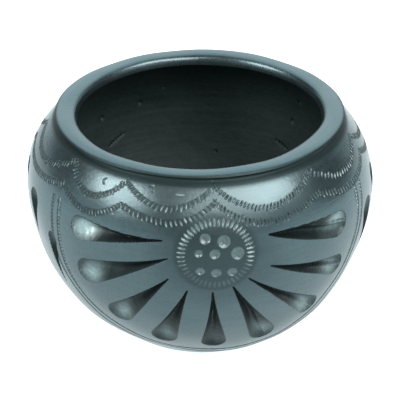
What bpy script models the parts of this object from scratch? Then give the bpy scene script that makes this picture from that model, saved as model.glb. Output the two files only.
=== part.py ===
"""Barro negro pot: a round, burnished black clay bowl with a rolled lip and gouged flower petals.

The pot is built up the way a coil potter builds it: a pressed base dish, then three wall coils and a
rim coil, each bedded on the one below along a sloping scarf joint. Units are metres and +Z is up.
The origin is at the middle of the flat foot.
"""

import bisect
import math

import bmesh
import bpy
from mathutils import Vector

# Driving dimensions of the outer form
BELLY_RADIUS = 0.0700  # radius at the widest line
BELLY_HEIGHT = 0.0655  # height of the widest line above the foot
LOWER_DEPTH = 0.0742  # where the lower curve would close below the widest line
LOWER_ROUND = 1.93  # exponent of the lower superellipse
UPPER_RISE = 0.0462  # where the upper curve would close above the widest line
UPPER_ROUND = 2.08  # exponent of the upper superellipse

# Wall and floor
WALL = 0.0062
FLOOR_THICKNESS = 0.0075

# Rolled lip: a half ellipse standing on the shoulder
LIP_RADIUS = 0.0532
LIP_HEIGHT = 0.0931
LIP_HALF_WIDTH = 0.0040
LIP_RISE = 0.0034

# Seams between the built-up pieces, measured on the outside, and the scarf that beds each one
SEAM_HEIGHTS = (0.0155, 0.0435, 0.0775)
RIM_SEAM_HEIGHT = 0.0926
SCARF_RISE = 0.0040
RIM_BED_FALL = 0.0012  # the rim's bed slopes down towards the mouth instead
SEAM_GAP = 0.0003

# Turned mesh
SEGMENTS = 64
RING_STEP = 0.0070
LIP_STEPS = 9
SHARP_ANGLE = 35.0

# Flowers: one on the front, one on the back, centred a little above the widest line
FLOWER_HEIGHT = 0.0702
FRONT_AZIMUTH = 5.0
BACK_AZIMUTH = 185.0
PETAL_COUNT = 9
PETAL_START = 0.0190  # from the flower's centre to the petal's narrow tip
PETAL_END = 0.0600
PETAL_HALF_WIDTH = 0.0060
PETAL_DEPTH = 0.0042

# Hanging petals in each side panel, as an arch of five with their points down
SIDE_PANELS = ((95.0, 12.0), (275.0, 14.0))  # azimuth of the middle petal, and the step between petals
SIDE_REACH = 2
SIDE_TOP_HEIGHT = 0.0775
SIDE_DROP = 0.0035  # fall of the arch, per step squared
SIDE_LENGTH = 0.0270
SIDE_HALF_WIDTH = 0.0042
SIDE_DEPTH = 0.0036

# Petal cutters
CUTTER_STATIONS = (0.0, 0.18, 0.42, 0.66, 0.84, 0.95, 1.0)
CUTTER_ARC = 4
CUTTER_LIFT = 0.0025
TIP_SHARE = 0.12  # width of the narrow tip, as a share of the widest place

CLAY_COLOUR = (0.030, 0.038, 0.040, 1.0)
CLAY_ROUGHNESS = 0.35
CLAY_METALLIC = 0.45


def clear_scene():
    for obj in list(bpy.data.objects):
        bpy.data.objects.remove(obj, do_unlink=True)


def clay(name, shade):
    """Burnished reduction-fired clay; each piece is a slightly different grey."""
    material = bpy.data.materials.new(name)
    material.use_nodes = True
    shader = material.node_tree.nodes["Principled BSDF"]
    colour = [channel * shade for channel in CLAY_COLOUR[:3]] + [1.0]
    shader.inputs["Base Color"].default_value = colour
    shader.inputs["Roughness"].default_value = CLAY_ROUGHNESS
    shader.inputs["Metallic"].default_value = CLAY_METALLIC
    material.diffuse_color = colour
    return material


def superellipse(radius, half_height, exponent, rise):
    share = 1.0 - (abs(rise) / half_height) ** exponent
    return radius * max(share, 0.0) ** (1.0 / exponent)


def outer_radius(height):
    rise = height - BELLY_HEIGHT
    if rise < 0.0:
        return superellipse(BELLY_RADIUS, LOWER_DEPTH, LOWER_ROUND, rise)
    return superellipse(BELLY_RADIUS, UPPER_RISE, UPPER_ROUND, rise)


def inner_radius(height):
    rise = height - BELLY_HEIGHT
    radius = BELLY_RADIUS - WALL
    if rise < 0.0:
        return superellipse(radius, LOWER_DEPTH - WALL, LOWER_ROUND, rise)
    return superellipse(radius, UPPER_RISE - WALL, UPPER_ROUND, rise)


def outward(height):
    """Unit outward normal of the outer surface, as (radial, vertical)."""
    step = 0.0001
    slope = (outer_radius(height + step) - outer_radius(height - step)) / (2.0 * step)
    length = math.hypot(1.0, slope)
    return 1.0 / length, -slope / length


def heights(low, high):
    """Evenly spaced heights from low to high, at most RING_STEP apart."""
    count = max(1, math.ceil((high - low) / RING_STEP))
    return [low + (high - low) * i / count for i in range(count + 1)]


def turned(name, outline, shade):
    """A solid of revolution from a closed outline of (radius, height), anticlockwise with +X outward.

    An outline point on the axis becomes a single vertex.
    """
    mesh = bmesh.new()
    rings = []
    for radius, height in outline:
        if radius == 0.0:
            rings.append([mesh.verts.new((0.0, 0.0, height))])
            continue
        ring = []
        for i in range(SEGMENTS):
            turn = 2.0 * math.pi * i / SEGMENTS
            ring.append(mesh.verts.new((radius * math.cos(turn), radius * math.sin(turn), height)))
        rings.append(ring)
    for below, above in zip(rings, rings[1:] + rings[:1]):
        if len(below) == 1 and len(above) == 1:
            continue
        for i in range(SEGMENTS):
            j = (i + 1) % SEGMENTS
            corners = [below[i % len(below)], below[j % len(below)]]
            corners += [above[j % len(above)], above[i % len(above)]]
            mesh.faces.new(list(dict.fromkeys(corners)))
    mesh.normal_update()
    data = bpy.data.meshes.new(name)
    mesh.to_mesh(data)
    mesh.free()
    data.materials.append(clay(name + "_clay", shade))
    data.shade_smooth()
    data.set_sharp_from_angle(angle=math.radians(SHARP_ANGLE))
    obj = bpy.data.objects.new(name, data)
    bpy.context.scene.collection.objects.link(obj)
    return obj


def wall_coil(name, low, high, shade):
    """A ring of wall between two outside seam heights, with a scarf below and above."""
    low = low + SEAM_GAP
    outside = [(outer_radius(z), z) for z in heights(low, high)]
    inside = [(inner_radius(z), z) for z in heights(low + SCARF_RISE, high + SCARF_RISE)]
    return turned(name, outside + inside[::-1], shade)


def base_dish(name, high, shade):
    """The pressed dish under the pot: a flat foot, a flat floor and the first rise of the wall."""
    outside = [(outer_radius(z), z) for z in heights(0.0, high)]
    inside = [(inner_radius(z), z) for z in heights(FLOOR_THICKNESS + WALL / 2.0, high + SCARF_RISE)]
    floor_edge = (inside[0][0] - WALL, FLOOR_THICKNESS)
    outline = [(0.0, 0.0)] + outside + inside[::-1] + [floor_edge, (0.0, FLOOR_THICKNESS)]
    return turned(name, outline, shade)


def rim_coil(name, low, shade):
    """The coil that makes the rolled lip, from the crease on the shoulder over to the mouth."""
    low = low + SEAM_GAP
    outline = [(outer_radius(low), low)]
    for i in range(LIP_STEPS + 1):
        turn = math.pi * i / LIP_STEPS
        radius = LIP_RADIUS + LIP_HALF_WIDTH * math.cos(turn)
        outline.append((radius, LIP_HEIGHT + LIP_RISE * math.sin(turn)))
    inside_low = low - RIM_BED_FALL
    outline.append((inner_radius(inside_low), inside_low))
    return turned(name, outline, shade)


def shoulder_coil(name, low, high, shade):
    """The last wall coil: its top face slopes down inwards, as a bed for the rim coil."""
    low = low + SEAM_GAP
    outside = [(outer_radius(z), z) for z in heights(low, high)]
    inside = [(inner_radius(z), z) for z in heights(low + SCARF_RISE, high - RIM_BED_FALL)]
    return turned(name, outside + inside[::-1], shade)


def arc_lengths():
    """Distance along the outer profile at evenly spaced heights, as two matching lists."""
    steps = 400
    top = RIM_SEAM_HEIGHT
    levels = [top * i / steps for i in range(steps + 1)]
    lengths = [0.0]
    for below, above in zip(levels, levels[1:]):
        lengths.append(lengths[-1] + math.hypot(above - below, outer_radius(above) - outer_radius(below)))
    return levels, lengths


LEVELS, LENGTHS = arc_lengths()


def interpolate(wanted, known, values):
    i = min(max(bisect.bisect(known, wanted), 1), len(known) - 1)
    share = (wanted - known[i - 1]) / (known[i] - known[i - 1])
    return values[i - 1] + share * (values[i] - values[i - 1])


def height_at(climb):
    """Height reached by climbing this far along the profile from the flower's centre."""
    start = interpolate(FLOWER_HEIGHT, LEVELS, LENGTHS)
    return interpolate(start + climb, LENGTHS, LEVELS)


def on_pot(azimuth, across, climb, out):
    """Point on the outer surface, across and up from a flower's centre, raised outwards by out."""
    height = height_at(climb)
    radius = outer_radius(height)
    turn = math.radians(azimuth) + 2.0 * across / (radius + outer_radius(FLOWER_HEIGHT))
    radial, vertical = outward(height)
    far = radius + out * radial
    return Vector((far * math.sin(turn), -far * math.cos(turn), height + out * vertical))


def petal_width(share):
    """Half-width of a petal as a share of its widest place: a straight taper that ends round."""
    round_end = 0.80
    taper = TIP_SHARE + (1.0 - TIP_SHARE) * min(share / round_end, 1.0)
    if share <= round_end:
        return taper
    past = (share - round_end) / (1.0 - round_end)
    return max(math.sqrt(max(1.0 - past * past, 0.0)), TIP_SHARE)


def petal_depth(share):
    """Depth along a petal: a quick plunge behind the tip, then a long ramp up to the wide end."""
    deepest = 0.45
    if share < deepest:
        return 0.35 + 0.65 * math.sin(0.5 * math.pi * share / deepest)
    return 0.25 + 0.75 * math.cos(0.5 * math.pi * (share - deepest) / (1.0 - deepest))


def petal_cutter(name, azimuth, root, direction, length, half_width, depth):
    """A closed scoop that follows the surface: root is (across, climb), direction is in degrees."""
    along = Vector((math.cos(math.radians(direction)), math.sin(math.radians(direction))))
    side = Vector((-along.y, along.x))
    mesh = bmesh.new()
    rings = []
    for share in CUTTER_STATIONS:
        middle = Vector(root) + along * length * share
        width = half_width * petal_width(share)
        scoop = depth * petal_depth(share)
        ring = []
        for i in range(CUTTER_ARC + 1):
            turn = math.pi * i / CUTTER_ARC
            place = middle + side * width * math.cos(turn)
            ring.append(mesh.verts.new(on_pot(azimuth, place.x, place.y, -scoop * math.sin(turn))))
        for sign in (-1.0, 1.0):
            place = middle + side * width * sign
            ring.append(mesh.verts.new(on_pot(azimuth, place.x, place.y, CUTTER_LIFT)))
        rings.append(ring)
    size = len(rings[0])
    for near, far in zip(rings, rings[1:]):
        for i in range(size):
            j = (i + 1) % size
            mesh.faces.new((near[i], near[j], far[j], far[i]))
    mesh.faces.new(rings[0][::-1])
    mesh.faces.new(rings[-1])
    bmesh.ops.recalc_face_normals(mesh, faces=mesh.faces)
    bmesh.ops.triangulate(mesh, faces=mesh.faces)
    data = bpy.data.meshes.new(name)
    mesh.to_mesh(data)
    mesh.free()
    cutter = bpy.data.objects.new(name, data)
    cutter.hide_render = True
    cutter.display_type = "WIRE"
    bpy.context.scene.collection.objects.link(cutter)
    return cutter


def flower_cutters(azimuth, label):
    """Petals fanned through the lower half circle, from level on one side to level on the other."""
    cutters = []
    for i in range(PETAL_COUNT):
        direction = -180.0 * i / (PETAL_COUNT - 1)
        along = Vector((math.cos(math.radians(direction)), math.sin(math.radians(direction))))
        name = f"{label}_petal_{i + 1}"
        length = PETAL_END - PETAL_START
        root = along * PETAL_START
        cutters.append(petal_cutter(name, azimuth, root, direction, length, PETAL_HALF_WIDTH, PETAL_DEPTH))
    return cutters


def side_cutters(azimuth, step, label):
    """The arch of hanging petals in a side panel, wide at the top and pointed below."""
    cutters = []
    for i in range(-SIDE_REACH, SIDE_REACH + 1):
        top = SIDE_TOP_HEIGHT - SIDE_DROP * i * i
        tip = (0.0, top - FLOWER_HEIGHT - SIDE_LENGTH)
        name = f"{label}_drop_{i + SIDE_REACH + 1}"
        place = azimuth + step * i
        cutters.append(petal_cutter(name, place, tip, 90.0, SIDE_LENGTH, SIDE_HALF_WIDTH, SIDE_DEPTH))
    return cutters


def spans(cutter):
    corners = [vertex.co.z for vertex in cutter.data.vertices]
    return min(corners), max(corners)


def gouge(obj, cutters):
    """Cut every petal that reaches this piece."""
    low, high = spans(obj)
    for cutter in cutters:
        bottom, top = spans(cutter)
        if top < low or bottom > high:
            continue
        modifier = obj.modifiers.new(cutter.name, "BOOLEAN")
        modifier.operation = "DIFFERENCE"
        modifier.object = cutter


def build():
    clear_scene()
    base = base_dish("base_dish", SEAM_HEIGHTS[0], 0.90)
    lower = wall_coil("lower_wall_coil", SEAM_HEIGHTS[0], SEAM_HEIGHTS[1], 1.00)
    belly = wall_coil("belly_coil", SEAM_HEIGHTS[1], SEAM_HEIGHTS[2], 1.15)
    shoulder = shoulder_coil("shoulder_coil", SEAM_HEIGHTS[2], RIM_SEAM_HEIGHT, 1.00)
    rim_coil("rim_coil", RIM_SEAM_HEIGHT, 1.25)
    cutters = flower_cutters(FRONT_AZIMUTH, "front") + flower_cutters(BACK_AZIMUTH, "back")
    for number, (azimuth, step) in enumerate(SIDE_PANELS):
        cutters += side_cutters(azimuth, step, f"side_{number + 1}")
    for piece in (base, lower, belly, shoulder):
        gouge(piece, cutters)


build()
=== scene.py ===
"""Barro negro pot: the fine surface, the burnished and matte clay, and a plain studio.

The pot is drawn as one section turned round Z and laid out on a grid of azimuth and arc length. Grid cells
are split finer wherever the potter's tools touched the clay. The grid is then divided at the coil seams, so
each built-up piece is a closed solid of its own, and the seams stay invisible as they are in fired clay.

Sizes in the design are in millimetres and degrees. Azimuth 0 is the front, -Y, and 90 is +X.
"""

import math

import bpy
import numpy as np
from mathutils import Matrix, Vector


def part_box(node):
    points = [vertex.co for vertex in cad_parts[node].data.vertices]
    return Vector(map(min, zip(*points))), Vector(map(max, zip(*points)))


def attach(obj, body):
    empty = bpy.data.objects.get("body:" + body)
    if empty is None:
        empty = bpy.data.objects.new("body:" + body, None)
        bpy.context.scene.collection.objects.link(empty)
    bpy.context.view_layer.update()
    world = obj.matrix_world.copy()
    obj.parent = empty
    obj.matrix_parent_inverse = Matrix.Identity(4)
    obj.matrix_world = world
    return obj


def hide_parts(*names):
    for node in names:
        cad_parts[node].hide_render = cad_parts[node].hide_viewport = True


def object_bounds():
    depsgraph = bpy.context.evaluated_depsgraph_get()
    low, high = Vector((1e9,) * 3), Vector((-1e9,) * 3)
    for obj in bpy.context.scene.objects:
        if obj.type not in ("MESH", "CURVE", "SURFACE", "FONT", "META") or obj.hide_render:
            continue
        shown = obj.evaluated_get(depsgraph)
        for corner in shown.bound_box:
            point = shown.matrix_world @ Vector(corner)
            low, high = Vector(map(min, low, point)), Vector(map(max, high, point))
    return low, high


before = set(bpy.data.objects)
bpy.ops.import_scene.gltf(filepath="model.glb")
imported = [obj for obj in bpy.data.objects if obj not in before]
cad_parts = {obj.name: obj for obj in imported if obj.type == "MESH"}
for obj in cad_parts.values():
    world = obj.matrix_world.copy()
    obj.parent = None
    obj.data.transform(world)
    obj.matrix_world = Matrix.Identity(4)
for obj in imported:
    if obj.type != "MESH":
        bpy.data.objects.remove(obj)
cad_low, cad_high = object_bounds()

MM = 0.001

# ---------------------------------------------------------------- section of the pot

BELLY_RADIUS = round((cad_high.x - cad_low.x) / 2.0 / MM, 1)
POT_HEIGHT = cad_high.z / MM
BELLY_HEIGHT = 65.5
LOWER_DEPTH = 74.2
LOWER_ROUND = 1.93
UPPER_RISE = 46.2
UPPER_ROUND = 2.08
WALL = 6.2
FLOOR_THICKNESS = 7.5
FLOOR_CORNER = 9.0
LIP_RADIUS = 53.2
LIP_HALF_WIDTH = 4.0
LIP_RISE = 3.4
LIP_HEIGHT = POT_HEIGHT - LIP_RISE
LIP_SQUARENESS = 0.80  # 1 is a half ellipse; less is flatter on top
LIP_JOIN = 1.0  # how far under the lip's widest part the inner wall starts
FLOOR_JOIN = 3.0  # how far over the floor the inner wall ends
FLOWER_HEIGHT = 70.2
SECTION_STEP = 0.1
SECTION_BLUR = 0.28  # softens the crease under the lip and the corner of the foot

# The CAD pieces from the bottom up. Inside, each seam is this far above its height outside, and the rim's
# seam this far below.
PIECES = ("base_dish", "lower_wall_coil", "belly_coil", "shoulder_coil", "rim_coil")
SCARF_RISE = 4.0
RIM_BED_FALL = 1.2


def superellipse(radius, half_height, exponent, rise):
    share = np.maximum(1.0 - (np.abs(rise) / half_height) ** exponent, 0.0)
    return radius * share ** (1.0 / exponent)


def wall_radius(height, inset=0.0):
    """Radius of the wall's outer face, or of its inner face with inset set to the wall's thickness."""
    rise = np.asarray(height, float) - BELLY_HEIGHT
    lower = superellipse(BELLY_RADIUS - inset, LOWER_DEPTH - inset, LOWER_ROUND, np.minimum(rise, 0.0))
    upper = superellipse(BELLY_RADIUS - inset, UPPER_RISE - inset, UPPER_ROUND, np.maximum(rise, 0.0))
    return np.where(rise < 0.0, lower, upper)


def section_points():
    """The section as (radius, height): foot edge, outside, over the lip, down the inside, floor."""
    outside_height = np.arange(0.0, LIP_HEIGHT, SECTION_STEP)
    turn = np.arange(0.0, math.pi, SECTION_STEP / LIP_HALF_WIDTH)
    inside_height = np.arange(LIP_HEIGHT - LIP_JOIN, FLOOR_THICKNESS + FLOOR_JOIN, -SECTION_STEP)
    floor_radius = np.arange(wall_radius(inside_height[-1], WALL) - FLOOR_CORNER / 2.0, 0.0, -SECTION_STEP)
    radius = np.concatenate([
        wall_radius(outside_height),
        LIP_RADIUS + LIP_HALF_WIDTH * np.sign(np.cos(turn)) * np.abs(np.cos(turn)) ** LIP_SQUARENESS,
        wall_radius(inside_height, WALL),
        floor_radius,
    ])
    height = np.concatenate([
        outside_height,
        LIP_HEIGHT + LIP_RISE * np.sin(turn) ** LIP_SQUARENESS,
        inside_height,
        np.full(len(floor_radius), FLOOR_THICKNESS),
    ])
    return radius, height


def blurred(values, sigma):
    """Gaussian blur along evenly spaced points, with both ends held."""
    reach = int(4 * sigma)
    offsets = np.arange(-reach, reach + 1)
    kernel = np.exp(-0.5 * (offsets / sigma) ** 2)
    padded = np.concatenate([
        2 * values[0] - values[reach:0:-1],
        values,
        2 * values[-1] - values[-2 : -reach - 2 : -1],
    ])
    return np.convolve(padded, kernel / kernel.sum(), mode="valid")


def make_section():
    """Arc length, radius, height and outward normal of the section, with arc length 0 at the flowers."""
    radius, height = section_points()
    length = np.concatenate([[0.0], np.cumsum(np.hypot(np.diff(radius), np.diff(height)))])
    even = np.arange(0.0, length[-1], SECTION_STEP)
    radius = blurred(np.interp(even, length, radius), SECTION_BLUR / SECTION_STEP)
    height = blurred(np.interp(even, length, height), SECTION_BLUR / SECTION_STEP)
    run = np.gradient(radius)
    rise = np.gradient(height)
    size = np.hypot(run, rise)
    flower = np.interp(FLOWER_HEIGHT, height[: np.argmax(height)], even[: np.argmax(height)])
    return even - flower, radius, height, rise / size, -run / size


ARC, ARC_RADIUS, ARC_HEIGHT, NORMAL_OUT, NORMAL_UP = make_section()
TOP_OF_LIP = int(np.argmax(ARC_HEIGHT))


def outside_arc(height):
    return float(np.interp(height, ARC_HEIGHT[:TOP_OF_LIP], ARC[:TOP_OF_LIP]))


def inside_arc(height):
    return float(np.interp(-height, -ARC_HEIGHT[TOP_OF_LIP:], ARC[TOP_OF_LIP:]))


# ---------------------------------------------------------------- decoration

FRONT = 5.0
BACK = 185.0

# Front petals: tip (across, climb), wide end (across, climb), half-width, taper, depth, valley, ridge,
# gleam, sheen side. A taper over 1 keeps the petal thin for longer. Valley is where the deepest line lies
# across the wide half, from -1 to 1. Ridge is the height of a crest that a second cut has left beside the
# valley. Gleam is how strong a painted highlight is laid on the wide end, a brighter colour standing in for
# reflected light, and sheen side is which side of it the painted highlight lies on, from -1 to 1.
FLOWER_PETALS = (
    ((-20.5, 3.9), (-61.5, 0.0), 5.0, 1.35, 4.2, -0.60, 0.0, 1.25, 0.1),
    ((-18.4, -3.2), (-58.5, -20.5), 6.0, 1.15, 4.4, -0.50, 0.5, 0.68, 0.5),
    ((-18.2, -12.3), (-43.8, -41.0), 5.8, 1.20, 4.4, -0.35, 0.0, 0.50, 0.4),
    ((-11.0, -17.6), (-23.3, -55.0), 5.9, 1.25, 4.4, -0.25, 0.0, 0.30, 0.4),
    ((-1.2, -18.5), (0.9, -58.6), 5.6, 1.30, 4.4, -0.25, 0.2, 0.08, 0.3),
    ((6.6, -16.2), (24.8, -54.6), 5.8, 1.15, 4.4, -0.35, 0.7, 0.38, 0.5),
    ((12.6, -12.9), (47.5, -42.8), 5.2, 1.35, 4.3, 0.35, 0.8, 0.60, -0.5),
    ((21.4, -8.9), (59.5, -23.3), 4.8, 1.10, 4.2, 0.40, 1.0, 0.55, -0.6),
    ((20.5, 4.6), (59.5, -2.8), 5.4, 0.85, 4.0, -0.35, 1.0, 0.70, 0.9),
)
PETAL_TIP = 0.35  # half-width at the tip
PETAL_WALL = 1.5  # steepest slope of a cut's side
PETAL_STEEPEST = 1.7  # deepest cut, in half-widths
PETAL_RUN_OUT = 0.70  # share of its depth that a cut loses towards the wide end
PETAL_CHATTER = 0.025  # ripple that the gouge leaves
# The petals' sheen is a painted highlight
SHEEN_PLACE = 0.86  # where along a petal its sheen is strongest
PETAL_MARGIN = 1.5  # how far round a petal points are looked at
PETAL_RIM = 0.26  # distance from the outline within which cells are finest

# Hanging petals at the sides, wide end up (azimuth, climb of the wide end, of the tip, half-width), and
# their taper, depth, valley, ridge, gleam and sheen side
SIDE_PETALS = (
    (71.7, -2.6, -29.0, 4.8),
    (83.0, 5.2, -19.0, 4.4),
    (95.0, 8.0, -16.0, 4.4),
    (107.0, 5.2, -19.0, 4.4),
    (119.0, -2.6, -28.0, 4.4),
    (247.0, -8.6, -34.0, 3.8),
    (261.0, 2.6, -20.0, 4.3),
    (275.0, 7.2, -16.0, 4.4),
    (290.2, 2.4, -17.5, 4.4),
    (303.6, -9.0, -34.5, 3.1),
)
SIDE_STYLE = (1.1, 3.4, 0.1, 0.0, 0.3, 0.0)

# Flower heart: a ring of radial nicks round eight reed dimples (across, climb, radius)
HEART_DROP = 1.0  # the heart's middle is this far under climb 0
RING_DROP = 0.4  # and the ring's middle this far under the heart's
RING_RADIUS = 13.3
RING_NICKS = 47
NICK_LENGTH = 3.4
NICK_HALF_WIDTH = 0.66
NICK_DEPTH = 0.8
DIMPLES = (
    (-4.1, 5.5, 2.2),
    (3.0, 4.2, 2.6),
    (-6.6, -0.2, 1.7),
    (-0.5, -0.6, 2.1),
    (8.2, -0.9, 2.7),
    (-6.0, -7.8, 1.9),
    (0.0, -8.9, 2.1),
    (6.1, -8.8, 2.0),
)
DIMPLE_DEPTH = 0.80
# The dimples' scraped clay is painted lighter, partly a painted highlight for the light caught in their
# bowls
DIMPLE_WEAR_AND_SHEEN = 0.45

# Garland: azimuth of each peak, climb of the upper row there, of the lower row there, climb of both rows in
# the hollow that follows, and the pitch of the stitches up to the next peak
GARLAND = (
    (-90.0, 21.5, 14.0, 15.4, 9.6, 1.6),
    (-53.0, 23.6, 13.6, 14.7, 8.3, 1.5),
    (-27.5, 23.9, 14.6, 16.0, 10.8, 1.9),
    (5.0, 25.2, 19.0, 14.6, 9.2, 1.5),
    (43.5, 23.0, 14.0, 15.4, 9.4, 1.8),
    (78.0, 22.0, 14.5, 15.0, 9.2, 1.6),
    (113.0, 23.0, 14.0, 15.4, 9.6, 1.7),
    (148.0, 23.6, 14.4, 14.8, 9.0, 1.8),
    (184.0, 25.0, 19.0, 15.6, 10.0, 1.6),
    (222.0, 23.4, 14.2, 15.2, 9.4, 1.7),
    (246.0, 22.8, 14.0, 15.4, 9.8, 1.6),
)
GARLAND_LOW = 4.0
GARLAND_HIGH = 29.0
GARLAND_STEP = 0.05  # degrees between the points that the rows are measured at
HOLLOW = 1.9  # 2 is a parabola; less is more pointed
STITCH_LENGTH = 2.5
STITCH_SLANT = 14.0
STITCH_HALF_WIDTH = 0.27  # in pitches
STITCH_DEPTH = 0.6
# Where the stitches' painted highlight is weaker, so that they read darker where the shoulder's highlights
# lie: azimuth, spread and by how much
SHADED_STITCHES = ((-62.0, 30.0, 0.25), (26.0, 20.0, 0.50))

# Border round each flower: two lines of fine dashes on half ellipses, open at the top. Half-width and drop
# of the ellipse, half-width of a dash, the dashes' wear with a painted highlight, and the painted shade
# along the line.
BORDER_LINES = ((69.8, 64.0, 1.0, 0.80, 0.90), (74.0, 68.4, 0.8, 0.40, 0.40))
BORDER_START = 8.0
BORDER_END = -95.0
BORDER_PITCH = 1.5
BORDER_BAND = 1.1
DASH_LENGTH = 1.7
DASH_DEPTH = 1.1

FLOWER_REACH = 75.0  # degrees either side of a flower's middle that its petals and border can lie in

# Tool slips on the shoulder (azimuth, climb, radius), pits inside (azimuth, height, radius), and slits
# inside (azimuth, height, slant, length)
CRESCENT = (-36.0, 21.6)
SCRAPE = (-6.8, 21.8)
SLIPS = ((-29.5, 23.0, 0.5), (-17.7, 24.2, 0.55))
PITS = (
    (-155.7, 69.3, 0.8),
    (-138.8, 66.9, 1.0),
    (136.7, 76.0, 0.8),
    (141.3, 64.6, 0.9),
    (-165.3, 76.0, 0.5),
    (173.4, 44.6, 0.5),
)
SLITS = ((-144.7, 54.7, 24.7, 11.0), (145.4, 52.5, -22.0, 8.0))
SLIP_DEPTH = 0.22
PIT_DEPTH = 0.9
# Pits and slips are painted in the worn colour: lighter on the shoulder as a painted highlight, darker
# inside the pot as painted shade
SPOT_WEAR_AND_PAINTED_LIGHT = 0.3
SLIT_HALF_WIDTH = 0.9
SLIT_DEPTH = 0.9

CREASE = outside_arc(LIP_HEIGHT)  # where the lip meets the shoulder
FOLD = CREASE + 1.1  # where the clay of the lip hangs over the crease
INTERIOR_START = inside_arc(LIP_HEIGHT - 1.5)

# Slow waves in the wall: how many go round the pot, how fast each turns with climb, its phase and depth
WAVES = (
    (2.0, 1.0, 0.0, 0.16),
    (3.0, -1.7, 1.0, 0.14),
    (5.0, 2.6, 2.0, 0.10),
    (9.0, -4.1, 0.0, 0.06),
    (14.0, 5.3, 0.7, 0.05),
)
WAVE_CLIMB = 22.0
SWELL = 0.1  # the whole wall stands out by this much
# Bulges of the wall: azimuth, spread, height, reach up and down, and how far it stands out
BULGES = ((46.0, 34.0, 17.0, 13.0, 1.3), (-38.0, 28.0, 7.0, 7.0, -0.8), (-85.0, 40.0, 84.0, 12.0, 0.5))
# Places where the mouth's edge is further out or further in: azimuth, spread and distance
MOUTH = ((-48.0, 22.0, 0.9), (0.0, 25.0, 0.4), (58.0, 16.0, -1.1))

# The lip: how far it hangs over all round and more at the sides, how far the crease under it is tucked in,
# and how far its top is pressed down all round and more at the back
OVERHANG = (0.25, 1.0)
TUCK = 0.75
PRESSED_DOWN = (0.5, 0.35)

# Matte clay, painted darker as painted shade: how far it reaches below the lip, and how strong it is in the
# hearts, on the rows and between
UNDER_LIP = 2.2
HEART_SHADE = ((0.32, 17.2, 1.6), (0.28, 28.0, 10.0))  # strength, outer radius and fade of each part
ROW_SHADE = 0.80
ROW_HALF_WIDTH = 1.6
BETWEEN_SHADE = 0.12

# ---------------------------------------------------------------- grid

FINE = 4  # finest cells along each side of a plain cell
COLUMNS = 480
FINE_COLUMNS = COLUMNS * FINE
OUTSIDE_ROW = 0.94
INSIDE_ROW = 2.4
SNAP = 0.10  # points this near a petal's outline move onto it


def seam_arcs():
    """Arc lengths of the seams, from the foot's edge up the outside and down the inside to the floor."""
    outside = []
    inside = []
    for lower, upper in zip(PIECES, PIECES[1:]):
        is_rim = upper == "rim_coil"
        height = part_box(lower)[1].z / MM if is_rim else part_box(upper)[0].z / MM
        outside.append(outside_arc(height))
        inside.append(inside_arc(height - RIM_BED_FALL if is_rim else height + SCARF_RISE))
    return [ARC[0]] + outside + inside[::-1] + [ARC[-1]]


SEAMS = seam_arcs()


def row_arcs():
    """Arc length of every fine row, and the fine row of each seam."""
    rows = [SEAMS[0]]
    marks = [0]
    for number, (low, high) in enumerate(zip(SEAMS, SEAMS[1:])):
        step = OUTSIDE_ROW if number < len(PIECES) else INSIDE_ROW
        count = max(1, round((high - low) / step)) * FINE
        rows.extend(low + (high - low) * (i + 1) / count for i in range(count))
        marks.append(len(rows) - 1)
    return np.array(rows), marks


ROWS, SEAM_ROWS = row_arcs()
PLAIN_ROWS = (len(ROWS) - 1) // FINE


BURNISHED, CARVED, INTERIOR = 0, 1, 2
FLOWER_RADIUS = float(wall_radius(FLOWER_HEIGHT))


def unit(values):
    return np.clip(values, 0.0, 1.0)


def only(pick, mask):
    """The picked points where the mask is true."""
    return tuple(index[mask] for index in pick)


def hump(values, centre, width):
    """1 at the centre, falling off to both sides."""
    return np.exp(-(((values - centre) / width) ** 2))


def bell(azimuth, centre, width):
    return hump((azimuth - centre + 180.0) % 360.0 - 180.0, 0.0, width)


class Surface:
    """The fine grid: where each point lies on the section, and what the potter's tools did there.

    Climb is arc length above the flowers' height. Out is a push along the section's normal and sideways a
    push away from the axis. Wear is how far the burnish is scraped off, painted lighter as a painted
    highlight (darker inside the pot, as painted shade); matte and painted shade is how matte the clay is,
    painted darker as shade, and level how finely a cell is split.
    """

    def __init__(self):
        shape = (len(ROWS), FINE_COLUMNS)
        self.azimuth = np.broadcast_to(np.arange(FINE_COLUMNS) * 360.0 / FINE_COLUMNS, shape).copy()
        self.arc = np.broadcast_to(ROWS[:, None], shape).copy()
        self.radius = np.interp(self.arc, ARC, ARC_RADIUS)
        self.out = np.zeros(shape)
        self.sideways = np.zeros(shape)
        self.wear_and_painted_light = np.zeros(shape)
        self.matte_and_painted_shade = np.zeros(shape)
        self.level = np.zeros(shape, np.int8)
        self.finish = np.zeros(shape, np.int8)

    def local(self, azimuth, reach, low, high):
        """Rows and columns of the points near an azimuth, with their distance across and climb in mm."""
        turn = (self.azimuth - azimuth + 180.0) % 360.0 - 180.0
        pick = np.nonzero((np.abs(turn) < reach) & (self.arc > low) & (self.arc < high))
        across = np.radians(turn[pick]) * (self.radius[pick] + FLOWER_RADIUS) / 2.0
        return pick, across, self.arc[pick]

    def near(self, azimuth, arc, reach):
        """Points within reach of an arc length, with their distance across and along from a spot on it."""
        pick = np.nonzero(np.abs(self.arc - arc) < reach)
        turn = (self.azimuth[pick] - azimuth + 180.0) % 360.0 - 180.0
        return pick, np.radians(turn) * self.radius[pick], self.arc[pick] - arc

    def slide(self, pick, across, climb):
        """Moves points over the surface."""
        self.azimuth[pick] += np.degrees(across * 2.0 / (self.radius[pick] + FLOWER_RADIUS))
        self.arc[pick] += climb

    def points(self):
        radius = np.interp(self.arc, ARC, ARC_RADIUS) + self.out * np.interp(self.arc, ARC, NORMAL_OUT)
        height = np.interp(self.arc, ARC, ARC_HEIGHT) + self.out * np.interp(self.arc, ARC, NORMAL_UP)
        radius = radius + self.sideways
        angle = np.radians(self.azimuth)
        return np.stack([radius * np.sin(angle), -radius * np.cos(angle), height], axis=-1) * MM


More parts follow.
